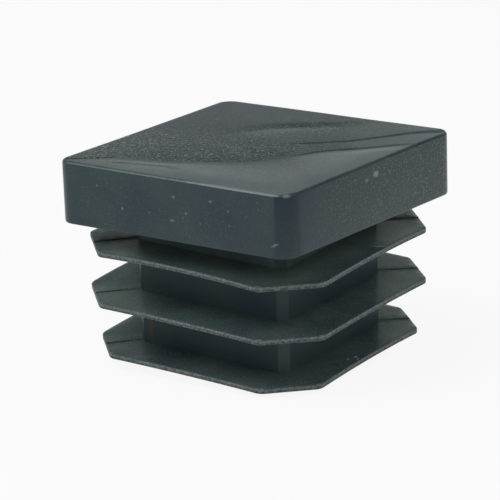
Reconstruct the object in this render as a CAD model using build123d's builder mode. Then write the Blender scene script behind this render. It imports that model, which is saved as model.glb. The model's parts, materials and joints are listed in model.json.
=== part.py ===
from build123d import *
import os

# Ribbed square end cap for a 25 mm square tube: one moulding, in millimetres.
# The origin is the centre of the open lower end of the stem, with +Z up through the head.
# The flat sides of the head face along X and Y.

# Head: the square slab that covers the end of the tube
tube_side = 25.0
head_height = 5.6
head_corner_radius = 1.5
head_top_rounding = 0.35
head_bottom_rounding = 0.2

# Stem: the square hollow spine below the head
stem_side = 15.8
stem_length = 13.0
stem_corner_cut = 0.75
stem_wall = 1.4
head_roof = 2.2

# Fins: three thin square blades round the stem, each with its corners cut off.
# The lowest blade is smaller, so that the cap starts into the tube easily.
fin_spans = (24.6, 24.6, 23.4)
fin_corner_cuts = (4.0, 4.0, 3.75)
fin_tip_radius = 0.7
fin_rim_thickness = 0.45
fin_root_swell = 0.1
first_fin_drop = 2.3
fin_pitch = 4.7

total_height = stem_length + head_height
hollow_side = stem_side - 2 * stem_wall
hollow_depth = total_height - head_roof
fin_rim_tops = [stem_length - first_fin_drop - fin_pitch * step for step in range(len(fin_spans))]


def make_fin(span, corner_cut, rim_top):
    """One blade: flat at the rim, and thicker towards the stem on both faces.

    Each face is four shallow slopes that meet in creases, from the corners of the stem
    to the middle of the cut corners.
    """
    rim_bottom = rim_top - fin_rim_thickness
    root_top = rim_top + fin_root_swell
    root_bottom = rim_bottom - fin_root_swell
    with BuildPart() as fin:
        with BuildSketch(Plane.XY.offset(rim_bottom)):
            Rectangle(span, span)
        extrude(amount=fin_rim_thickness)
        for rim_level, root_level in ((rim_top, root_top), (rim_bottom, root_bottom)):
            with BuildSketch(Plane.XY.offset(rim_level)):
                Rectangle(span, span)
            with BuildSketch(Plane.XY.offset(root_level)):
                Rectangle(stem_side, stem_side)
            loft()
        with BuildSketch(Plane.XY.offset(root_bottom)) as outline:
            Rectangle(span, span)
            chamfer(outline.vertices(), length=corner_cut)
            fillet(outline.vertices(), radius=fin_tip_radius)
        extrude(amount=root_top - root_bottom, mode=Mode.INTERSECT)
    return fin.part


fins = [make_fin(*sizes) for sizes in zip(fin_spans, fin_corner_cuts, fin_rim_tops)]

with BuildPart() as end_cap:
    # Head, with soft edges all round
    with BuildSketch(Plane.XY.offset(stem_length)):
        RectangleRounded(tube_side, tube_side, head_corner_radius)
    extrude(amount=head_height)
    fillet(end_cap.faces().sort_by(Axis.Z)[-1].edges(), radius=head_top_rounding)
    fillet(end_cap.faces().sort_by(Axis.Z)[0].edges(), radius=head_bottom_rounding)

    # Stem
    with BuildSketch(Plane.XY) as stem_section:
        Rectangle(stem_side, stem_side)
        chamfer(stem_section.vertices(), length=stem_corner_cut)
    extrude(amount=stem_length)

    # Fins
    for fin in fins:
        add(fin)

    # Hollow up the middle, open at the lower end and closed by the roof of the head
    with BuildSketch(Plane.XY) as hollow_section:
        Rectangle(hollow_side, hollow_side)
        chamfer(hollow_section.vertices(), length=stem_corner_cut)
    extrude(amount=hollow_depth, mode=Mode.SUBTRACT)

end_cap.part.label = "end_cap"
os.makedirs("parts", exist_ok=True)
export_step(end_cap.part, "parts/end_cap.step")
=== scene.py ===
# %% [markdown]
# # A ribbed end cap for a square tube
#
# The object is one small injection moulding in very dark, slate grey polyethylene. A square
# head covers the end of a tube, and three thin fins round a square stem grip the inside of it.
# This lesson builds it by box modelling: one slab, from which the stem is pulled down, and from
# which the fins are then pulled out. Everything is in metres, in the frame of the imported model.

# %% Load the fixed frame
import json
import math
import bmesh
import bpy
from mathutils import Matrix, Vector


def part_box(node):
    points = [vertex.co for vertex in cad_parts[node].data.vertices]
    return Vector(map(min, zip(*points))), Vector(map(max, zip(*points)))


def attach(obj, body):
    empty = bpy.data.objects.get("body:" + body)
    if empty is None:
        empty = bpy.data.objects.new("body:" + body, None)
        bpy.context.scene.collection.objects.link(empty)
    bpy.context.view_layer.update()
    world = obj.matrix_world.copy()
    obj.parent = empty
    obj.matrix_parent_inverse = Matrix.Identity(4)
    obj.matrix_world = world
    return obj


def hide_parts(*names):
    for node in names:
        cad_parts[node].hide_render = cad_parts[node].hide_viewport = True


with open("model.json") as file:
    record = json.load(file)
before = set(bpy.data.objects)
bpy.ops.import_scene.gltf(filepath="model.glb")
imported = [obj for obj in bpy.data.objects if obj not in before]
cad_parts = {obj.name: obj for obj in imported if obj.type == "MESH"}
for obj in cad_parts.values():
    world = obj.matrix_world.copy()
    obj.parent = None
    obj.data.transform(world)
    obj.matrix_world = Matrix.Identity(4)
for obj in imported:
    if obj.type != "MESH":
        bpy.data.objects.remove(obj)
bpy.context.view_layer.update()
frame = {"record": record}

# %% [markdown]
# ## Leading sizes
#
# The frame gives the side of the head, the height of its top and the level of its underside.
# The other sizes are those of the moulding, in millimetres, and every place in the script is
# worked out from them. The mould opened along the upright plane through the left and right
# corners, where x and y are equal, and it has left a fine line there on every level surface.

# %% Sizes of the moulding
MM = 0.001
TINY = 0.001 * MM
low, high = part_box("end_cap")
mounts = {mount["name"]: mount for mount in frame["record"]["mounts"]}

head_side = high.x - low.x
head_top = high.z
head_underside = mounts["head_seat"]["pos_m"][2]
head_corner_radius = 1.4 * MM
front_corner_radius = 1.7 * MM
head_top_rounding = 0.25 * MM
head_bottom_rounding = 0.2 * MM

stem_half = 7.9 * MM
stem_corner_cut = 0.75 * MM
stem_wall = 1.4 * MM
head_roof = 2.2 * MM

# A list with a value for each fin goes from the top fin down. A side shift moves a whole fin
# along x, and a back cut shortens its back edge at the right end.
fin_spans = [24.75 * MM, 24.7 * MM, 23.4 * MM]
fin_corner_cuts = [4.05 * MM, 3.95 * MM, 3.75 * MM]
fin_side_shifts = [0.0, -0.1 * MM, -0.17 * MM]
fin_back_cuts = [0.0, 0.2 * MM, 0.3 * MM]
fin_rim_tops = [10.7 * MM, 6.0 * MM, 1.3 * MM]
fin_rim_thickness = 0.45 * MM
fin_root_swell = 0.1 * MM
fin_tip_bevel = 0.4 * MM
fin_edge_rounding = 0.08 * MM
print("head", round(head_side / MM, 2), "mm square, underside at", round(head_underside / MM, 2), "mm")

# %% [markdown]
# ## The head
#
# The head is a flat slab with soft edges. It could be a cube with a Bevel modifier, but then
# the corners and the two rims would all get one radius. Here each set of edges is bevelled on
# its own: the upright corners widely, the top edge finely and the bottom edge finer still.

# %% Make the head slab
def edges_where(bm, test):
    """The edges both of whose ends pass a test on their place."""
    return [edge for edge in bm.edges if all(test(vert.co) for vert in edge.verts)]


def round_edges(bm, edges, size, segments):
    """Bevels some edges to an arc, or to a flat cut when there is one segment."""
    bmesh.ops.bevel(
        bm, geom=edges, offset=size, offset_type="OFFSET", segments=segments,
        profile=0.5, affect="EDGES", material=-1, clamp_overlap=True,
    )


def upright(edge):
    """True for an edge that runs straight up."""
    start, end = (vert.co for vert in edge.verts)
    return abs(start.z - end.z) > TINY and (start - end).xy.length < TINY


def in_head_corner(x_side, y_side):
    """A test for places on one upright corner of the slab."""
    limit = head_side / 2 - TINY
    return lambda co: co.x * x_side > limit and co.y * y_side > limit


cap = bmesh.new()
bmesh.ops.create_cube(cap, size=1)
bmesh.ops.scale(cap, vec=(head_side, head_side, head_top - head_underside), verts=cap.verts)
bmesh.ops.translate(cap, vec=(0, 0, (head_top + head_underside) / 2), verts=cap.verts)
for x_side, y_side in ((1, -1), (1, 1), (-1, 1), (-1, -1)):
    radius = front_corner_radius if x_side > y_side else head_corner_radius
    round_edges(cap, edges_where(cap, in_head_corner(x_side, y_side)), radius, segments=8)
top_edges = edges_where(cap, lambda co: co.z > head_top - TINY)
round_edges(cap, top_edges, head_top_rounding, segments=4)
bottom_edges = edges_where(cap, lambda co: co.z < head_underside + TINY)
round_edges(cap, bottom_edges, head_bottom_rounding, segments=3)
print("head:", len(cap.faces), "faces")

# %% [markdown]
# ## The stem
#
# The stem is a square column in one piece with the head. It could be a second box joined by a
# Boolean, but pulling it out of the head keeps one clean skin. The underside is scored with
# four cuts, the square in the middle is extruded down in steps, and each step ends at a face
# of a fin, so that every fin later has its own band of faces to grow from.

# %% Pull the stem out of the underside
# A face looks up or down when its normal's z is past LEVEL, and sideways when it is within STEEP.
LEVEL = 0.9
STEEP = 0.1


def score(bm, point, normal):
    """Cuts the whole skin along a plane, without opening it."""
    everything = bm.verts[:] + bm.edges[:] + bm.faces[:]
    bmesh.ops.bisect_plane(bm, geom=everything, dist=TINY, plane_co=point, plane_no=normal)


def pull(bm, faces, move):
    """Extrudes joined faces and returns the new ones."""
    made = bmesh.ops.extrude_face_region(bm, geom=faces)["geom"]
    bmesh.ops.delete(bm, geom=faces, context="FACES")
    verts = [item for item in made if isinstance(item, bmesh.types.BMVert)]
    bmesh.ops.translate(bm, vec=move, verts=verts)
    return [item for item in made if isinstance(item, bmesh.types.BMFace)]


for place in (-stem_half, stem_half):
    score(cap, (place, 0, 0), (1, 0, 0))
    score(cap, (0, place, 0), (0, 1, 0))

stem_levels = [head_underside]
for rim_top in fin_rim_tops:
    stem_levels.append(rim_top + fin_root_swell)
    stem_levels.append(rim_top - fin_rim_thickness - fin_root_swell)
stem_levels.append(low.z)

cap.normal_update()
bottom = [
    face for face in cap.faces
    if face.normal.z < -LEVEL and max(abs(c) for c in face.calc_center_median().xy) < stem_half
]
for above, below in zip(stem_levels, stem_levels[1:]):
    bottom = pull(cap, bottom, (0, 0, below - above))
print("stem:", len(bottom), "face at the end,", len(cap.faces), "faces in all")

# %% Cut the stem's corners
corner_edges = [
    edge for edge in cap.edges
    if upright(edge) and all(max(abs(v.co.x), abs(v.co.y)) < stem_half + TINY for v in edge.verts)
    and all(v.co.z < head_underside + TINY for v in edge.verts)
]
round_edges(cap, corner_edges, stem_corner_cut, segments=1)
print("stem corners:", len(corner_edges), "edges cut")

# %% [markdown]
# ## The hollow
#
# The stem is cored out from below, as thick plastic would sink. A Boolean could cut the hollow,
# but an inset needs no second body. The end face is inset by the wall, squared up, because the
# wall is thicker than the corner cuts are wide, and pushed up inside, nearly to the top of the
# head.

# %% Core the stem
def end_faces(bm):
    """The faces at the end of the stem that are centred on it."""
    bm.normal_update()
    centres = {face: face.calc_center_median() for face in bm.faces if face.normal.z < -LEVEL}
    return [face for face, centre in centres.items() if centre.z < TINY and centre.xy.length < TINY]


bmesh.ops.inset_region(cap, faces=end_faces(cap), thickness=stem_wall, use_even_offset=True)
inner = [vert for face in end_faces(cap) for vert in face.verts]
for vert in inner:
    for axis in (0, 1):
        vert.co[axis] = math.copysign(stem_half - stem_wall, vert.co[axis])
bmesh.ops.remove_doubles(cap, verts=inner, dist=TINY)
pull(cap, end_faces(cap), (0, 0, head_top - head_roof))
print("hollow:", round((head_top - head_roof) / MM, 2), "mm deep")

# %% [markdown]
# ## The fins
#
# Each fin is a blade about half a millimetre thick, square with its corners cut off. Plates
# with a hole could be slid over the stem, but they would not share its skin. So the band of
# faces where a fin begins is extruded outwards, and the new ring is opened out to the fin's
# outline. The tips are then rounded a little, and so are both edges of the rim. The faces of
# the rims get the second of the two materials.

# %% Pull the fins out of the stem
RIM = 1


def make_fin(bm, fin):
    """Grows one blade from its band of faces on the stem."""
    span, corner_cut, rim_top = fin_spans[fin], fin_corner_cuts[fin], fin_rim_tops[fin]
    rim_bottom = rim_top - fin_rim_thickness
    middle = (rim_top + rim_bottom) / 2
    band = [
        face for face in bm.faces
        if abs(face.normal.z) < STEEP
        and abs(face.calc_center_median().z - middle) < fin_rim_thickness / 2
        and max(abs(c) for c in face.calc_center_median().xy) > stem_half - stem_corner_cut
    ]
    ring = pull(bm, band, (0, 0, 0))
    for vert in {vert for face in ring for vert in face.verts}:
        for axis in (0, 1):
            outer = abs(vert.co[axis]) > stem_half - stem_corner_cut / 2
            reach = span / 2 if outer else span / 2 - corner_cut
            vert.co[axis] = math.copysign(reach, vert.co[axis])
        vert.co.z = rim_top if vert.co.z > middle else rim_bottom
        if vert.co.x > 0 and vert.co.y > span / 2 - TINY:
            vert.co.x -= fin_back_cuts[fin]
        vert.co.x += fin_side_shifts[fin]
    for face in ring:
        face.material_index = RIM
    tips = dict.fromkeys(edge for face in ring for edge in face.edges if upright(edge))
    round_edges(bm, list(tips), fin_tip_bevel, segments=4)
    return len(band)


for fin, rim_top in enumerate(fin_rim_tops):
    cap.normal_update()
    print("fin at", round(rim_top / MM, 2), "mm grown from", make_fin(cap, fin), "faces")

# %% Soften the rims
for rim_top in fin_rim_tops:
    for level in (rim_top, rim_top - fin_rim_thickness):
        at_rim = edges_where(cap, lambda co: abs(co.z - level) < TINY)
        round_edges(cap, at_rim, fin_edge_rounding, segments=2)
print("rims softened:", len(cap.faces), "faces")

# %% [markdown]
# ## The shape that cooling gave it
#
# No moulding is as true as its drawing. The fins lean, their edges curve, the head is a little
# out of square, and its big face has sunk. To bend, a mesh needs cuts. A modifier could
# subdivide it evenly, but the big face needs far smaller faces than the rest. So the whole skin
# is scored by two sets of planes and by both diagonals, and the big face far more finely. Then
# each point is moved by a function of its place.

# %% Score the skin so that it can bend
score_step = 0.8 * MM
face_step = 0.25 * MM
# The second cut along the parting plane stands this far in front of the first, for a fold.
fold_width = 0.12 * MM

steps = int(head_side / 2 / score_step)
for step in range(-steps, steps + 1):
    score(cap, (step * score_step, 0, 0), (1, 0, 0))
    score(cap, (0, step * score_step, 0), (0, 1, 0))
score(cap, (0, 0, 0), (1, 1, 0))
for shift in (0, fold_width / math.sqrt(2)):
    score(cap, (shift, -shift, 0), (1, -1, 0))


def on_top(face):
    """True for a part of the flat outer face."""
    return face.calc_center_median().z > head_top - TINY


steps = int((head_side / 2 - head_top_rounding) / face_step)
for axis in (0, 1):
    normal = (1 - axis, axis, 0)
    for step in range(-steps, steps + 1):
        place = [0, 0, 0]
        place[axis] = step * face_step
        faces = [face for face in cap.faces if on_top(face)]
        parts = dict.fromkeys(item for face in faces for item in (face, *face.edges, *face.verts))
        bmesh.ops.bisect_plane(cap, geom=list(parts), dist=TINY, plane_co=place, plane_no=normal)
print("scored:", len(cap.faces), "faces")

# %% [markdown]
# ## The fins out of true
#
# Each fin is lower in front than behind, and levels off at the back. Its free edges curve up
# between the corners. The mould's parting plane has left a small fold across the left and the
# right tips, where the back half ends a little higher than the front half begins. Each fin
# could be bent by hand, but one formula with a list of amounts keeps the three alike.

# %% Let the fins lean and fold
# A lean or a twist is a slope: the rise over a distance across the fin.
fin_lifts = [0.6 * MM, 0.58 * MM, 0.49 * MM]
fin_leans = [0.052, 0.050, 0.043]
fin_twists = [-0.009, -0.010, -0.008]
# The lean begins this far behind the parting plane, over a bend this wide.
lean_start = 8 * MM
lean_softness = 3 * MM
edge_bows = {
    "front": [0.25 * MM, 0.09 * MM, 0.08 * MM],
    "right": [0.19 * MM, 0.13 * MM, 0.18 * MM],
    "left": [0.0, 0.36 * MM, 0.29 * MM],
    "back": [0.0, 0.1 * MM, 0.1 * MM],
}
fold_height = 0.045 * MM
fold_reach = 2.5 * MM


def in_front(co):
    """How far a point is in front of the mould's parting plane."""
    return (co.x - co.y) / math.sqrt(2)


def fin_shift(co, fin):
    """How far a point of a fin is moved up."""
    ahead = in_front(co)
    from_start = ahead + lean_start
    lean = fin_leans[fin] * (from_start + math.hypot(from_start, lean_softness)) / 2
    twist = fin_twists[fin] * (co.x + co.y) / math.sqrt(2)
    reaches = {"front": -co.y, "right": co.x, "left": -co.x, "back": co.y}
    side = max(reaches, key=reaches.get)
    half_flat = fin_spans[fin] / 2 - fin_corner_cuts[fin]
    overhang = (reaches[side] - stem_half) / (fin_spans[fin] / 2 - stem_half)
    across = min(abs(co.x), abs(co.y)) / half_flat
    bow = edge_bows[side][fin] * max(0, overhang) * max(0, 1 - across ** 2)
    fold_share = math.exp(ahead / fold_reach) if ahead < 0 else max(0, 1 - ahead / fold_width)
    fold = fold_height * fold_share
    return fin_lifts[fin] - lean + twist + bow + fold


for vert in cap.verts:
    for fin, rim_top in enumerate(fin_rim_tops):
        middle = rim_top - fin_rim_thickness / 2
        outside = max(abs(vert.co.x), abs(vert.co.y)) > stem_half - stem_wall / 2
        if outside and abs(vert.co.z - middle) < fin_rim_thickness:
            vert.co.z += fin_shift(vert.co, fin)

# %% [markdown]
# ## The outer face
#
# Where the plastic under a thick face shrinks, the face sinks, and streams of melt that met
# leave fine lines. Both are shallow: the face has sunk by about a quarter of a millimetre at
# most, and the lines are about a tenth deep or less. They show because the light is glancing. A
# bump could fake them, but as slopes in the mesh they are there in every program. Each mark
# follows a path over the face. What is needed is how far a point is from that path, on which
# side, and how far along it.

# %% Measure from a path
def from_path(co, path):
    """Distance from a path, positive in front of it, and the part of its length passed."""
    lengths = [math.dist(a, b) for a, b in zip(path, path[1:])]
    best = None
    passed = 0
    for start, end, length in zip(path, path[1:], lengths):
        stretch = Vector(end) - Vector(start)
        away = co.xy / MM - Vector(start)
        part = min(1, max(0, away.dot(stretch) / length ** 2))
        gap = (away - part * stretch).length
        if best is None or gap < abs(best[0]):
            in_front_of = stretch.x * away.y - stretch.y * away.x < 0
            best = (gap if in_front_of else -gap, (passed + part * length) / sum(lengths))
        passed += length
    return best


# %% Cut the face finely beside its lines
# The paths run from left to right, in millimetres from the middle of the head.
weld_line = [
    (-12.3, -12), (-8, -8.8), (-4, -7.5), (-2, -6.6), (-0.4, -5.9), (1.1, -5.3), (2.6, -4.3),
    (3.6, -3.1), (4.5, -1.6), (5.1, -0.3), (5.7, 1.2), (6.8, 2.6), (8.4, 3.8), (12.4, 7.2),
]
left_line = weld_line[:2]
right_line = weld_line[8:]
parting_line = [(1.8, 1.8), (4.1, 3.5), (6.4, 5.5), (8.3, 7.8), (10, 10.2), (12.4, 12.4)]
flow_line = [(-9, -10.8), (-5, -9.9), (-3, -9.4), (0, -9.8)]
lens_edge = [(-4.6, 1.2), (-3.5, 3.1), (-2.3, 4.9), (-0.6, 6.4), (1, 7.4), (3, 8.9), (6, 11.6)]
# The edges within this many millimetres of the two sharpest lines are cut in half.
line_reach = 0.6

top_verts = [vert for vert in cap.verts if vert.co.z > head_top - TINY]
near = {
    vert for vert in top_verts
    if min(abs(from_path(vert.co, path)[0]) for path in (weld_line, parting_line)) < line_reach
}
fine = [edge for edge in cap.edges if all(vert in near for vert in edge.verts)]
bmesh.ops.subdivide_edges(cap, edges=fine, cuts=1, use_grid_fill=True)
print("cut", len(fine), "edges:", len(cap.faces), "faces")

# %% [markdown]
# ### How the face has sunk
#
# The face is deepest along the weld line. Behind the line it comes back slowly; in front of it
# the face rises to a ridge that follows the two front edges. Four fine lines are small steps,
# down to their front. In the middle of the face is a low swelling, the lens. A second swelling
# lies behind the lens's curved edge. All this could be sculpted by hand, but formulas keep the
# slopes smooth, and it is the slopes that show in the reflections.

# %% Helpers for the relief
# Lengths are in millimetres. A pair of fades is the part of a line's length over which a mark
# comes in at its left end, and the part over which it goes out at its right end.
ridge_inset = 3
ridge_width = 1.5
ridge_onset = 1.6


def smooth_step(value):
    """Goes from 0 to 1 as a value does, with a soft start and end."""
    value = min(1, max(0, value))
    return value * value * (3 - 2 * value)


def along(part, fades, end=1):
    """1 along the middle of a line, with its fades towards the start and the end."""
    start_fade, end_fade = fades
    share = smooth_step(part / start_fade) if start_fade else 1
    return share * smooth_step((end - part) / end_fade) if end_fade else share


def drop(gap, width, recovery):
    """A step down to the front of a line, which then rises slowly back."""
    return smooth_step(gap / width + 0.5) * math.exp(-max(0, gap) / recovery)


def inset(co):
    """Distance from the nearer of the two front edges, rounded where they are equally near."""
    from_front = (head_side / 2 + co.y) / MM
    from_right = (head_side / 2 - co.x) / MM
    return -math.log(math.exp(-from_front) + math.exp(-from_right))


def to_ridge(co, gap):
    """Goes from 0 at the weld line to 1 on the ridge along the front edges, and stays there."""
    left = inset(co) - ridge_inset
    return smooth_step(gap / ridge_onset) * gap / (gap + (left + math.hypot(left, ridge_width)) / 2)


# %% Sink the outer face
sunk = {"depth": 0.23, "fades": (0.45, 0.25), "reach": 7}
# A depth or a width is followed by what is added to it towards the line's right end.
steps_down = [
    {"path": left_line, "depth": (0.03, 0), "fades": (0, 0.3), "width": (0.3, 0), "recovery": 1.2},
    {"path": right_line, "depth": (0.05, 0), "fades": (0.2, 0.2), "width": (0.35, 0), "recovery": 1.2},
    {"path": parting_line, "depth": (0.03, 0.09), "fades": (0.1, 0), "width": (0.25, 0.6), "recovery": 3},
    {"path": flow_line, "depth": (0.03, 0), "fades": (0.25, 0.25), "width": (0.4, 0), "recovery": 1.5},
]
# A swelling comes in over its onset and dies away over its reach. The lens ends at a part of
# its line's length.
lens = {"height": 0.08, "fades": (0.25, 0.25), "end": 0.8, "onset": 1.5, "reach": 6}
back_swelling = {"height": 0.09, "fades": (0.45, 0.4), "onset": 2.4, "reach": 8}
# The ridge stands this much above the flat face it began as.
ridge_rise = 0.02


def sink(co):
    """Height of the outer face at a point, in millimetres."""
    gap, part = from_path(co, weld_line)
    share = math.exp(gap / sunk["reach"]) if gap < 0 else 1 - to_ridge(co, gap) ** 2
    height = -sunk["depth"] * along(part, sunk["fades"]) * share
    for step in steps_down:
        gap, part = from_path(co, step["path"])
        depth = step["depth"][0] + step["depth"][1] * part ** 2
        width = step["width"][0] + step["width"][1] * part ** 3
        height -= depth * along(part, step["fades"]) * drop(gap, width, step["recovery"])
    gap, part = from_path(co, lens_edge)
    if gap < 0:
        swelling = smooth_step(-gap / back_swelling["onset"]) * math.exp(gap / back_swelling["reach"])
        return height + back_swelling["height"] * along(part, back_swelling["fades"]) * swelling
    swelling = (1 - math.exp(-gap / lens["onset"])) * math.exp(-gap / lens["reach"])
    return height + lens["height"] * along(part, lens["fades"], lens["end"]) * swelling


moved = 0
for vert in cap.verts:
    if vert.co.z > head_top - head_top_rounding - TINY:
        share = (vert.co.z - head_top + head_top_rounding) / head_top_rounding
        vert.co.z += (sink(vert.co) + ridge_rise) * MM * share
        moved += 1
print("sunk:", moved, "points")

# %% [markdown]
# ### A head out of square
#
# Each corner of the head has drifted a little as the moulding cooled. A lattice could bend the
# head, but here the four drifts are simply blended, by the place of each point between the
# corners, so that nothing has to be applied afterwards.

# %% Put the head out of square
# The values of a corner are its moves along x and y, and its rise at the top and the underside.
corner_shifts = {
    (-1, -1): Vector((0.02, 0.12, 0.0, 0.0)) * MM,
    (1, -1): Vector((-0.6, -0.3, -0.12, 0.0)) * MM,
    (1, 1): Vector((0.18, 0.05, 0.0, -0.13)) * MM,
    (-1, 1): Vector((0.4, 0.28, 0.07, 0.0)) * MM,
}
for vert in cap.verts:
    over_stem = max(abs(vert.co.x), abs(vert.co.y)) < stem_half + TINY
    on_stem = over_stem and vert.co.z < head_top - head_roof + TINY
    if vert.co.z > head_underside - TINY and not on_stem:
        place = vert.co.xy / (head_side / 2)
        rise = (vert.co.z - head_underside) / (head_top - head_underside)
        for (x_side, y_side), shift in corner_shifts.items():
            share = (1 + x_side * place.x) * (1 + y_side * place.y) / 4
            vert.co += share * Vector((shift.x, shift.y, shift.z * rise + shift.w * (1 - rise)))
print("corners moved:", len(corner_shifts))

# %% [markdown]
# ## Where the skin differs
#
# The same plastic looks different from place to place. The mould was grainier over some areas,
# and a thin pale film of dust lies on the fins and the sides. The same film also carries painted
# light: highlights on an edge and on the fin tips, lighter patches that lift the shade beside the
# stem and under the head, a darker front corner, and painted reflection on the outer face. The
# head is a little duller than the fins, and the stem is the dullest. Separate materials would
# meet in hard lines, so each of these is painted on the mesh as an attribute, and one material
# can serve all the places.

# %% Paint the outer face
# The film attribute holds a real film of dust together with painted light and painted reflection.
grainy, film_and_light, dull = (cap.loops.layers.float.new(name) for name in ("grainy", "film_and_light", "dull"))

head_dull = 0.3
# On the outer face the film is painted reflection: lighter in front of the weld line and most on the
# ridge, on the lens and to the right, and darker beside the sunk weld line.
front = {"grain": 0.35, "film_and_light": 0.18, "ridge film": 0.32, "less past ridge": 0.12, "past ridge": 2}
back = {"grain": 0.3, "rough grain": 0.7, "film_and_light": 0.03, "film reach": 6}
# Behind the weld line the face is roughest out to the nearer distance, and smooth at the farther.
rough_near = 6
rough_far = 12
right_part = {"film_and_light": 0.3, "start": 1, "length": 8}
lens_part = {"film_and_light": 0.15, "smoothness": 0.7, "middle": (1.5, 4.2), "half": (4, 2.6)}


def within_lens(co):
    """Goes from 1 in the middle of the lens to 0 outside it."""
    middle, half = lens_part["middle"], lens_part["half"]
    out = [(co[axis] / MM - middle[axis]) / half[axis] for axis in (0, 1)]
    return math.exp(-math.hypot(*out) ** 4)


def on_outer_face(co):
    """Grain, film and dullness at a point of the outer face, where the film is painted reflection."""
    gap = from_path(co, weld_line)[0]
    if gap > 0:
        past_ridge = smooth_step((ridge_inset - inset(co)) / front["past ridge"])
        ridge_painted_reflection = front["ridge film"] - front["less past ridge"] * past_ridge
        return front["grain"], front["film_and_light"] + ridge_painted_reflection * to_ridge(co, gap) ** 3, head_dull
    to_right = smooth_step((co.x / MM - right_part["start"]) / right_part["length"])
    in_lens = within_lens(co)
    rough = (1 - to_right) * smooth_step((rough_far + gap) / (rough_far - rough_near))
    rough *= 1 - lens_part["smoothness"] * in_lens
    far_painted_reflection = back["film_and_light"] * (1 - math.exp(gap / back["film reach"]))
    near_painted_reflection = max(lens_part["film_and_light"] * in_lens, right_part["film_and_light"] * to_right)
    return back["grain"] + back["rough grain"] * rough, far_painted_reflection + near_painted_reflection, head_dull


# %% Tell the parts of the skin apart
# Each part has its grain, its film and its dullness.
finishes = {
    "left side": (0.1, 0.14, head_dull),
    "right side": (0.2, 0.03, head_dull),
    # The front corner gets no film, a painted shade that keeps it dark.
    "front corner": (0.05, 0.0, head_dull),
    # The lit rim's film is a painted highlight along the front-left top edge, and the dark rim's film is
    # painted light that lifts the dark reflection along the right top edge.
    "lit rim": (0.1, 0.55, head_dull),
    "dark rim": (0.05, 0.2, head_dull),
    "stem": (0.0, 0.0, 1.0),
    "stem corner": (0.0, 0.3, 1.0),
    "fin": (0.35, 0.33, 0.0),
}
# The smallest z of a normal on the outer face, on the head's rounded top edge and on a blade,
# the smallest x and -y on a corner, and how squarely a lit rim faces the front.
outer_tilt = 0.85
rim_tilt = 0.2
blade_tilt = 0.3
corner_turn = 0.2
lit_turn = 3


def place_of(face):
    """Names the part of the cap that a face belongs to."""
    centre = face.calc_center_median()
    normal = face.normal
    if centre.z > head_top - head_roof and normal.z > outer_tilt:
        return "outer face"
    in_corner = min(normal.x, -normal.y) > corner_turn
    if centre.z > head_underside - TINY:
        if normal.z > rim_tilt:
            return "lit rim" if -normal.y > lit_turn * abs(normal.x) else "dark rim"
        if in_corner:
            return "front corner"
        return "right side" if normal.x > abs(normal.y) else "left side"
    reach = max(abs(centre.x), abs(centre.y))
    beside_stem = reach > stem_half - stem_corner_cut and abs(normal.z) > blade_tilt
    if reach > stem_half + stem_corner_cut or beside_stem:
        return "fin"
    return "stem corner" if in_corner else "stem"


# %% Vary the skin within a part
# The tips of the fins begin this far from the middle, in millimetres, and are this long.
tip_start = 9
tip_length = 3
# Painted light on the fins: the far tips are painted lighter, the right ones most, and the part beside
# the stem is painted lighter against its shade, on the top fin most.
left_tip_painted_light = 0.25
right_tip_painted_light = 0.85
root_painted_light = {"top fin": 0.7, "lower fins": 0.2}
# The top fin is all that is higher than halfway between it and the next.
top_fin_low = (fin_rim_tops[0] + fin_rim_tops[1]) / 2
root_light_reach = 1.2
# The right side's film is painted light, lighter towards the back, and the front corner is painted
# lighter towards its foot.
across_right = {"grain": 0.4, "film_and_light": 0.1, "grain start": 4 * MM, "film start": 1.5 * MM}
corner_foot_light = {"film_and_light": 0.12, "height": 2 * MM}
# Painted light on the stem: each face grows lighter towards its foot, and the faces under the head are
# painted lighter against their shade.
stem_foot_painted_light = 0.15
under_head_painted_light = 0.4


def on_fin(co):
    """Painted light beyond a fin's own film: lighter beside the stem, against its shade, and on the two
    far tips.
    """
    overhang = (max(abs(co.x), abs(co.y)) - stem_half) / (head_side / 2 - stem_half)
    root_light = root_painted_light["top fin" if co.z > top_fin_low else "lower fins"]
    to_tip = (abs(co.x + co.y) / math.sqrt(2) / MM - tip_start) / tip_length
    tip_painted_light = right_tip_painted_light if co.x > 0 else left_tip_painted_light
    return root_light * smooth_step(root_light_reach * (1 - overhang)) + tip_painted_light * smooth_step(to_tip)


def on_part(co, middle, where):
    """Grain, film and dullness at a point of a face, given the face's middle and its part."""
    if where == "outer face":
        return on_outer_face(co)
    grain_here, film_and_light_here, dull_here = finishes[where]
    if where == "fin":
        film_and_light_here += on_fin(co)
    # Painted light: the right side grows lighter towards the back, and its film fades out near the front
    # corner, which keeps the corner's painted shade.
    if where == "right side":
        across = smooth_step((co.y + head_side / 2) / head_side)
        past_corner = co.y + head_side / 2 - front_corner_radius
        grain_here += across_right["grain"] * across
        grain_here *= smooth_step(past_corner / across_right["grain start"])
        film_and_light_here += across_right["film_and_light"] * across
        film_and_light_here *= smooth_step(past_corner / across_right["film start"])
    # Painted light: the front corner grows lighter towards its foot.
    if where == "front corner":
        depth = (head_underside + corner_foot_light["height"] - co.z) / corner_foot_light["height"]
        film_and_light_here += corner_foot_light["film_and_light"] * smooth_step(depth)
    # Painted shade: the corner strip is painted darker under the head. Painted light: the stem's faces
    # are lighter towards their foot and under the head.
    if where == "stem corner" and co.z > fin_rim_tops[0]:
        film_and_light_here = 0
    if where == "stem" and co.z < middle.z:
        film_and_light_here += stem_foot_painted_light
    if where == "stem" and middle.z > fin_rim_tops[0]:
        film_and_light_here += under_head_painted_light
    return grain_here, film_and_light_here, dull_here


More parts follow.
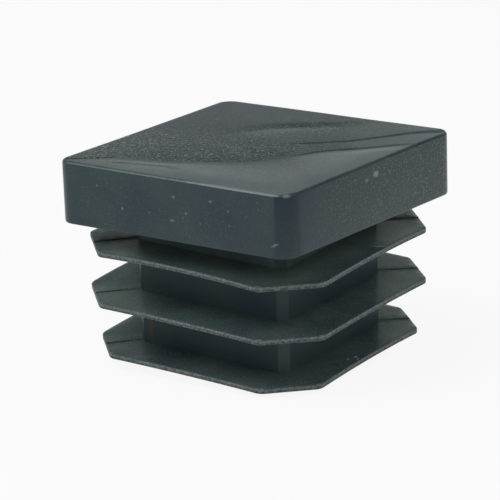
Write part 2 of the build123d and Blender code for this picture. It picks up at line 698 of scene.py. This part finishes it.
# %% Paint the cap
# On the rims of the fins the film only tells the upper edge, 1, from the lower edge, 0; the rim
# material paints a highlight along the upper edge.
cap.normal_update()
counts = {}
for face in cap.faces:
    middle = face.calc_center_median()
    where = place_of(face)
    counts[where] = counts.get(where, 0) + 1
    for loop in face.loops:
        co = loop.vert.co
        loop[grainy], loop[film_and_light], loop[dull] = on_part(co, middle, where)
        if face.material_index == RIM:
            loop[film_and_light] = 1 if co.z > middle.z else 0
print("painted:", counts)

# %% [markdown]
# ## One mesh
#
# The cap is one moulding with no joints, so it stays one mesh. It could be smoothed further by
# a modifier, but its roundings are already cut. It is enough to shade the skin smoothly and to
# keep every edge crisp that turns by more than a set angle.

# %% Finish the mesh
sharp_angle = math.radians(35)


def finish_mesh(bm, name):
    """Turns a bmesh into an object at the origin."""
    bmesh.ops.recalc_face_normals(bm, faces=bm.faces)
    mesh = bpy.data.meshes.new(name)
    bm.to_mesh(mesh)
    bm.free()
    piece = bpy.data.objects.new(name, mesh)
    bpy.context.scene.collection.objects.link(piece)
    return piece


open_edges = [edge for edge in cap.edges if len(edge.link_faces) != 2]
print("open edges:", len(open_edges), "volume mm3:", round(cap.calc_volume() / MM**3, 1))
moulding = finish_mesh(cap, "end_cap_moulding")
moulding.data.shade_smooth()
moulding.data.set_sharp_from_angle(angle=sharp_angle)

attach(moulding, "root")
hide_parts("end_cap")

# %% [markdown]
# ## Polyethylene, as moulded
#
# The plastic is very dark slate grey, and most of what the eye sees is a waxy reflection of the
# room, not the colour. Its index of refraction is 1.51. The mould left a fine grain, some areas
# came out more mottled than others, and pale dust clings to it. A painted picture could carry
# all this, but patterns worked out from the place on the object need no seams and stay sharp.

# %% Helpers for materials
def linear(code):
    """Linear colour of an sRGB hex value."""
    channels = [int(code[start:start + 2], 16) / 255 for start in (1, 3, 5)]
    return [c / 12.92 if c <= 0.04045 else ((c + 0.055) / 1.055) ** 2.4 for c in channels] + [1]


def fill(tree, node, inputs):
    """Gives a node's inputs their values, or links them to other nodes."""
    for name, value in inputs.items():
        if isinstance(value, bpy.types.NodeSocket):
            tree.links.new(value, node.inputs[name])
        else:
            node.inputs[name].default_value = value


def add(tree, kind, inputs=None, **settings):
    """Adds a node with its settings, and with values or links for its inputs."""
    made = tree.nodes.new(kind)
    for name, value in settings.items():
        setattr(made, name, value)
    fill(tree, made, inputs or {})
    return made


def new_material(name):
    """A material with its tree, its shader and Object coordinates."""
    material = bpy.data.materials.new(name)
    material.use_nodes = True
    tree = material.node_tree
    place = add(tree, "ShaderNodeTexCoord").outputs["Object"]
    return material, tree, tree.nodes["Principled BSDF"], place


# %% Helpers for patterns
def noise(tree, place, size, **inputs):
    """Noise whose lumps are one size apart, in millimetres."""
    scale = 1 / (size * MM)
    return add(tree, "ShaderNodeTexNoise", {"Vector": place, "Scale": scale, **inputs}).outputs["Fac"]


def painted(tree, name):
    """An attribute that was painted on the mesh."""
    return add(tree, "ShaderNodeAttribute", attribute_name=name).outputs["Fac"]


def maths(tree, operation, *values, clamp=False):
    """The result of a sum with numbers or sockets."""
    inputs = dict(enumerate(values))
    return add(tree, "ShaderNodeMath", inputs, operation=operation, use_clamp=clamp).outputs["Value"]


def spread(tree, value, start, end, low=0, high=1, **settings):
    """Maps a value from between start and end to between low and high."""
    inputs = {"Value": value, "From Min": start, "From Max": end, "To Min": low, "To Max": high}
    return add(tree, "ShaderNodeMapRange", inputs, **settings).outputs["Result"]


def mix(tree, share, first, second):
    """A blend of two colours, whose sockets on a Mix node are 6 and 7, and 2 for the result."""
    inputs = {"Factor": share, 6: first, 7: second}
    return add(tree, "ShaderNodeMix", inputs, data_type="RGBA").outputs[2]


# %% Colour of the skin
# All sizes are in millimetres.
cloud_size = 5
hue_size = 1.8
weathering = 4

skin, tree, shader, place = new_material("polyethylene, moulded")
grain_share = painted(tree, "grainy")
film_and_light_share = painted(tree, "film_and_light")
dull_share = painted(tree, "dull")

cloudy = spread(tree, noise(tree, place, cloud_size, Detail=3), 0.35, 0.65)
tint = mix(tree, cloudy, linear("#1A2F3D"), linear("#1E323A"))
# Where the skin is grainy and not glossy it has weathered to a greener grey.
weathered = maths(tree, "MULTIPLY", grain_share, dull_share)
weathered = maths(tree, "MULTIPLY", weathered, weathering, clamp=True)
tint = mix(tree, weathered, tint, linear("#1C322E"))
# The film, with the painted light that it carries, is thicker in the clouds, and a little
# greener in some places than in others.
film_and_light_here = maths(tree, "MULTIPLY", film_and_light_share, spread(tree, cloudy, 0, 1, 0.7, 1.3))
hue = spread(tree, noise(tree, place, hue_size, Detail=3), 0.4, 0.6)
film_and_light_colour = mix(tree, hue, linear("#60746D"), linear("#687470"))
colour = mix(tree, film_and_light_here, tint, film_and_light_colour)
print("skin nodes:", len(tree.nodes))

# %% [markdown]
# ### Speckle and dust
#
# Real moulding grain is finer than a tenth of a millimetre and would not show at this distance.
# So the speckle and the specks of dust are drawn as coarse as they need to be to show. Dust
# could be many tiny bodies, but a pattern covers every side at no cost. A speck is the middle
# of a cell of a Voronoi pattern, and only some of the cells have one.

# %% Speckle and dust
speckle_size = 0.17
speckle_strength = 0.75
dust_layers = [
    {"spacing": 0.6, "radius": 0.11, "chosen": 0.4, "colour": "#6B7878"},
    {"spacing": 1.3, "radius": 0.17, "chosen": 0.5, "colour": "#788688"},
]
dust_sharpness = 1.3
dust_onset = 8

speckle = noise(tree, place, speckle_size, Detail=1)
# The speckle's pale glints are painted: a sparkle where the grainy skin would catch the light.
glints = spread(tree, speckle, 0.55, 0.8, high=speckle_strength)
glints = maths(tree, "MULTIPLY", glints, grain_share)
colour = mix(tree, glints, colour, linear("#A8B0AC"))

dusty = maths(tree, "MULTIPLY", grain_share, dust_onset, clamp=True)
for dust in dust_layers:
    inputs = {"Vector": place, "Scale": 1 / (dust["spacing"] * MM)}
    cells = add(tree, "ShaderNodeTexVoronoi", inputs).outputs
    chance = add(tree, "ShaderNodeSeparateColor", {"Color": cells["Color"]}).outputs["Red"]
    radius = dust["radius"] / dust["spacing"]
    size = spread(tree, chance, dust["chosen"], 1, high=radius)
    inside = maths(tree, "SUBTRACT", size, cells["Distance"])
    speck = maths(tree, "MULTIPLY", inside, dust_sharpness / radius, clamp=True)
    speck = maths(tree, "MULTIPLY", speck, dusty)
    colour = mix(tree, speck, colour, linear(dust["colour"]))
print("dust layers:", len(dust_layers))

# %% [markdown]
# ### Marks
#
# What use has left on this cap: a scrape, specks, fine scratches and a stain. They could be
# small flat pieces laid on the skin, but in the material they follow its bends. A painted
# highlight along the front edge of the head and on its front corner is made in the same way. Each
# mark is an ellipsoid. The point being shaded is moved into the mark's own space, where its
# distance from the middle says whether it is inside, and the speckle makes the border ragged. The
# fold at the parting line gets a painted shadow in the same way, as a dark line on the left and
# the right tip of each fin.

# %% List the marks
def make_mark(at, half, share, colour, turn=(0, 0, 0)):
    """A mark: place and half size in millimetres, strength, colour, and turn in degrees."""
    return {"at": at, "half": half, "share": share, "colour": colour, "turn": turn}


# The middles of the spots on the head's two front sides lie just inside the skin.
left_y = -12.4
right_x = 12.4
scrape = make_mark((10.5, left_y, 14.2), (0.45, 0.5, 0.15), 0.6, "#9AA8AC", (0, -28, 0))
# A painted highlight along the front-left top edge, and a smaller painted highlight on the front corner.
painted_edge_highlight = make_mark((7.2, -12.6, 18.5), (6.5, 0.3, 0.17), 0.3, "#A8B8C0", (0, 0, -1))
painted_corner_highlight = make_mark((11.5, -12.25, 18.4), (0.4, 0.35, 0.17), 0.35, "#A4B4BC", (0, 0, 40))
right_spots = [
    make_mark((right_x, 0.2, 17.45), (0.5, 0.45, 0.3), 0.5, "#A4ACA8"),
    make_mark((right_x, -1.2, 17.2), (0.5, 0.3, 0.18), 0.3, "#9AA8A4"),
]
# A speck on the left face is given by its x and z, and by half its width and height.
left_specks = [
    ((0.25, 17), (0.16, 0.16)), ((4.1, 17.1), (0.25, 0.14)), ((5.9, 16.5), (0.14, 0.14)),
    ((1.5, 15.7), (0.16, 0.14)), ((0, 14.9), (0.3, 0.12)), ((-5.3, 15.2), (0.14, 0.14)),
]
left_spots = [
    make_mark((x, left_y, z), (width, 0.5, height), 0.42, "#8E9CA0")
    for (x, z), (width, height) in left_specks
]
low_fin_spots = [
    make_mark((10.8, -1.3, 1), (0.16, 0.3, 0.4), 0.7, "#B4BCBA"),
    make_mark((10.5, -2.1, 1), (0.12, 0.25, 0.4), 0.6, "#B4BCBA"),
    make_mark((11.2, -1.6, 1), (0.1, 0.2, 0.4), 0.6, "#B4BCBA"),
]
top_fin_scratches = [
    make_mark((11.7, 1.5, 10.7), (0.8, 0.1, 0.5), 0.7, "#B4BCBA", (0, 0, 28)),
    make_mark((11, 1.9, 10.7), (0.5, 0.08, 0.5), 0.4, "#A4ACAA", (0, 0, 36)),
]
stain = make_mark((-6.3, -7.9, 2.7), (0.3, 0.5, 1.2), 0.5, "#54462E")
# Painted shadow of the fold at the parting line: a dark line across each tip of each fin.
tip_middle = 9.4
fold_shadow_lines = [
    make_mark((tip, tip, rim_top / MM + 0.2), (2.7, 0.16, 0.8), 0.7, "#0C1214", (0, 0, 45))
    for rim_top in fin_rim_tops for tip in (-tip_middle, tip_middle)
]
marks = [scrape, painted_edge_highlight, painted_corner_highlight, *right_spots, *left_spots]
marks += [*low_fin_spots, *top_fin_scratches, stain, *fold_shadow_lines]
print("marks:", len(marks))

# %% Add the marks to the skin
# The speckle, about 0.5, is added to the distance, so the border lies between these sums.
mark_outside = 1.6
mark_inside = 1.1

for mark in marks:
    in_mark = add(tree, "ShaderNodeMapping", {
        "Vector": place,
        "Location": [c * MM for c in mark["at"]],
        "Rotation": [math.radians(angle) for angle in mark["turn"]],
        "Scale": [c * MM for c in mark["half"]],
    }, vector_type="TEXTURE").outputs["Vector"]
    out = add(tree, "ShaderNodeVectorMath", {0: in_mark}, operation="LENGTH").outputs["Value"]
    ragged = maths(tree, "ADD", out, speckle)
    share = spread(tree, ragged, mark_outside, mark_inside, high=mark["share"])
    colour = mix(tree, share, colour, linear(mark["colour"]))
print("skin nodes:", len(tree.nodes))

# %% [markdown]
# ### Gloss and grain
#
# The skin reflects half as much as a clean polished surface would, because it is waxy and
# dusty. Grain makes it a little rougher. The grain could be cut into the mesh, but that would
# take over a million faces, so a bump gives it some depth.

# %% Finish the skin's shader
plastic_ior = 1.51
specular_level = 0.25
grain_size = 0.3
glossy_roughness = 0.2
dull_roughness = 0.4
grain_roughness = 0.08
bump_depth = 0.03 * MM


def finish_shader(tree, shader, colour, roughness, strength, height):
    """Gives a shader its colour, its roughness, its bump and the plastic's reflection."""
    bump = add(tree, "ShaderNodeBump", {"Strength": strength, "Distance": bump_depth, "Height": height})
    fill(tree, shader, {
        "Base Color": colour, "Roughness": roughness, "Normal": bump.outputs["Normal"],
        "IOR": plastic_ior, "Specular IOR Level": specular_level,
    })


grain = noise(tree, place, grain_size, Detail=2)
matt = spread(tree, dull_share, 0, 1, glossy_roughness, dull_roughness)
roughness = maths(tree, "MULTIPLY_ADD", grain, grain_roughness, matt)
finish_shader(tree, shader, colour, roughness, grain_share, grain)
moulding.data.materials.append(skin)
print("material:", skin.name)

# %% [markdown]
# ## The rims
#
# The thin edges of the fins are rough and pale, where the mould's halves met and where the
# plastic has been rubbed. It is the same plastic, scuffed to a lighter grey, and its upper edge is
# painted lighter still, as a painted highlight. A mask in the first material could do this, but
# the rims are whole faces, so a second material is simpler.

# %% Scuffed rims
scuff_size = 0.2
scuff_share = 0.6
edge_highlight_share = 0.6
edge_highlight_narrowness = 2
scuff_roughness = 0.6
scuff_bump = 0.6

rim, tree, shader, place = new_material("polyethylene, scuffed")
scuffs = noise(tree, place, scuff_size, Detail=4, Roughness=0.7)
# The upper edge is painted lighter as a painted highlight; the scuff patches are wear.
upper_edge_highlight = maths(tree, "POWER", painted(tree, "film_and_light"), edge_highlight_narrowness)
upper_edge_highlight = maths(tree, "MULTIPLY", upper_edge_highlight, edge_highlight_share)
patches = spread(tree, scuffs, 0.42, 0.6)
worn_and_lit = maths(tree, "MULTIPLY_ADD", patches, scuff_share, upper_edge_highlight, clamp=True)
pale = mix(tree, worn_and_lit, linear("#323C3B"), linear("#7E8886"))
finish_shader(tree, shader, pale, scuff_roughness, scuff_bump, scuffs)
moulding.data.materials.append(rim)
print("materials:", [material.name for material in moulding.data.materials])

# %% [markdown]
# ## Camera
#
# The cap is looked at from a little above and across its front corner, through a long lens, so
# that its edges stay nearly parallel. The camera is placed by angles and a distance, which are
# easier to read than a matrix, and is tipped a little about its own line of sight.

# %% Camera
view_azimuth = math.radians(35.15)
view_elevation = math.radians(16.58)
view_roll = math.radians(-1.98)
view_distance = 225 * MM
# The middle of the outer face is this far right of the middle of the view, and above it.
view_offset = (0.455 * MM, 9.21 * MM)

towards = Vector((
    math.sin(view_azimuth) * math.cos(view_elevation),
    -math.cos(view_azimuth) * math.cos(view_elevation),
    math.sin(view_elevation),
))
level_right = Vector((math.cos(view_azimuth), math.sin(view_azimuth), 0))
level_up = towards.cross(level_right)
right = math.cos(view_roll) * level_right + math.sin(view_roll) * level_up
up = math.cos(view_roll) * level_up - math.sin(view_roll) * level_right
aim = Vector((0, 0, head_top))
place = aim - view_offset[0] * right - view_offset[1] * up + view_distance * towards

camera_data = bpy.data.cameras.new("camera")
camera_data.sensor_width = 36
camera_data.lens = 184.9
camera_data.clip_start = 0.01
camera = bpy.data.objects.new("camera", camera_data)
camera.matrix_world = Matrix.Translation(place) @ Matrix((right, up, towards)).transposed().to_4x4()
bpy.context.scene.collection.objects.link(camera)
bpy.context.scene.camera = camera
print("camera at mm:", [round(c / MM, 1) for c in place])

# %% [markdown]
# ## Studio
#
# The floor is a plain white sheet. The room is white near the floor and darker overhead, as in
# a light tent with an open top. Big lamps all round could do the same, but a world with a plain
# gradient leaves no shapes of its own in the reflections. One soft lamp stands high on the
# left, and a weaker one high on the right, so that the two sides of the head differ and the
# stem below it stays dark. Plain light for the matt part of the plastic comes evenly from all
# sides.

# %% Floor
floor_side = 600 * MM
paper_roughness = 0.9
paper_glow = 0.9
white = linear("#FFFFFF")


def seen_directly(tree):
    """1 for a ray from the camera, from a reflection or through a clear body, and 0 for light."""
    ray = add(tree, "ShaderNodeLightPath").outputs
    seen = maths(tree, "MAXIMUM", ray["Is Camera Ray"], ray["Is Glossy Ray"])
    return maths(tree, "MAXIMUM", seen, ray["Is Transmission Ray"])


floor_mesh = bmesh.new()
bmesh.ops.create_grid(floor_mesh, x_segments=1, y_segments=1, size=floor_side / 2)
floor = finish_mesh(floor_mesh, "floor")

# The sheet glows for the eye, so that it is white, and keeps a faint shadow of the cap.
paper, tree, shader, place = new_material("white paper")
fill(tree, shader, {"Base Color": linear("#E4E4E4"), "Roughness": paper_roughness})
glow = add(tree, "ShaderNodeEmission", {"Color": white, "Strength": 1}).outputs[0]
share = maths(tree, "MULTIPLY", seen_directly(tree), paper_glow)
both = add(tree, "ShaderNodeMixShader", {0: share, 1: shader.outputs[0], 2: glow}).outputs[0]
fill(tree, tree.nodes["Material Output"], {"Surface": both})
floor.data.materials.append(paper)
print("floor side mm:", round(floor_side / MM))

# %% Room
ambient = 0.45
tent_bottom = 0.06
tent_top = 0.38

world = bpy.data.worlds.new("light tent")
bpy.context.scene.world = world
world.use_nodes = True
tree = world.node_tree
tree.nodes.clear()
direction = add(tree, "ShaderNodeTexCoord").outputs["Generated"]
height = add(tree, "ShaderNodeSeparateXYZ", {"Vector": direction}).outputs["Z"]
rise = spread(tree, height, tent_bottom, tent_top, interpolation_type="SMOOTHSTEP")
tent = mix(tree, rise, white, linear("#3C4246"))
plain = add(tree, "ShaderNodeBackground", {"Color": white, "Strength": ambient}).outputs[0]
shown = add(tree, "ShaderNodeBackground", {"Color": tent, "Strength": 1}).outputs[0]
both = add(tree, "ShaderNodeMixShader", {0: seen_directly(tree), 1: plain, 2: shown}).outputs[0]
add(tree, "ShaderNodeOutputWorld", {"Surface": both})
print("room nodes:", len(tree.nodes))

# %% Lamps
lamp_distance = 350 * MM
lamp_side = 220 * MM
lamps = {
    "lamp left": {"direction": (-0.47, -0.42, 0.78), "radiance": 3.7},
    "lamp right": {"direction": (0.7, 0.25, 0.67), "radiance": 1.1},
}
for name, lamp in lamps.items():
    direction = Vector(lamp["direction"]).normalized()
    light = bpy.data.lights.new(name, "AREA")
    light.size = lamp_side
    light.energy = lamp["radiance"] * math.pi * lamp_side ** 2
    holder = bpy.data.objects.new(name, light)
    turn = direction.to_track_quat("Z", "Y").to_matrix().to_4x4()
    holder.matrix_world = Matrix.Translation(direction * lamp_distance) @ turn
    bpy.context.scene.collection.objects.link(holder)
bpy.context.scene.view_settings.view_transform = "Standard"
print("lamps:", list(lamps))
